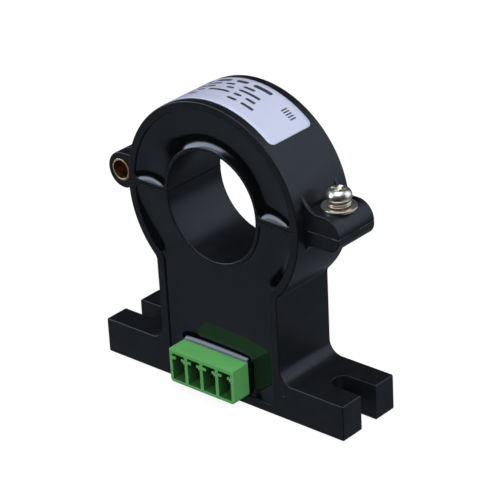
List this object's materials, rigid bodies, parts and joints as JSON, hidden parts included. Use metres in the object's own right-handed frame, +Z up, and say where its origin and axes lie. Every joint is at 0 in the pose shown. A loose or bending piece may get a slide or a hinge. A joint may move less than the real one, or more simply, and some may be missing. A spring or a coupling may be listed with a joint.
{
  "type": "open-loop hall current sensor",
  "caption": "Split-core hall current sensor: hinged ring on a slotted base clamps round a cable, with a locking screw and a pluggable terminal socket.",
  "frame": {"origin": "middle of the underside of the base", "axes": "+X along the base from the hinge towards the screw, +Y from the socket face to the back along the aperture, +Z up"},
  "size_m": [0.0584, 0.0191, 0.0593],
  "materials": {
    "housing": "black moulded plastic, satin",
    "resin": "black potting resin, glossy",
    "core": "laminated silicon steel, ground pole faces",
    "chip_body": "black moulded package",
    "board": "green solder mask on glass-epoxy",
    "trimmer": "blue moulded trimmer",
    "capacitor": "tan ceramic",
    "socket": "green moulded plastic",
    "pin": "tin-plated",
    "brass": "plain brass",
    "label": "white film label, printed",
    "screw_steel": "nickel-plated steel"
  },
  "bodies": {
    "base": {"lower_housing": "housing", "lower_potting": "resin", "core_lower_left": "core", "core_lower_right": "core", "hall_element": "chip_body", "circuit_board": "board", "amplifier_chip": "chip_body", "voltage_regulator": "chip_body", "zero_trimmer": "trimmer", "gain_trimmer": "trimmer", "input_capacitor": "capacitor", "output_capacitor": "capacitor", "resistor_1": "chip_body", "resistor_2": "chip_body", "resistor_3": "chip_body", "resistor_4": "chip_body", "terminal_header": "socket", "header_pin_1": "pin", "header_pin_2": "pin", "header_pin_3": "pin", "header_pin_4": "pin", "clamp_insert": "brass"},
    "jaw": {"upper_housing": "housing", "upper_potting": "resin", "core_upper": "core", "hinge_pin": "brass", "rating_label": "label"},
    "washers": {"flat_washer": "screw_steel", "spring_washer": "screw_steel"},
    "screw": {"clamp_screw": "screw_steel"}
  },
  "joints": [
    {"name": "jaw_hinge", "type": "hinge", "parent": "base", "child": "jaw", "pos_m": [-0.0245, 0, 0.0392], "axis": [0, -1, 0], "range_deg": [0, 100]},
    {"name": "screw_lift", "type": "slide", "parent": "jaw", "child": "washers", "axis": [0, 0, 1], "range_m": [0, 0.00315]},
    {"name": "screw_turn", "type": "hinge", "parent": "washers", "child": "screw", "pos_m": [0.024, 0, 0.0442], "axis": [0, 0, 1], "range_deg": [0, 2520]}
  ],
  "couplings": [
    {"joint": "screw_turn", "follows": "screw_lift", "rad_per_m": 13963}
  ]
}
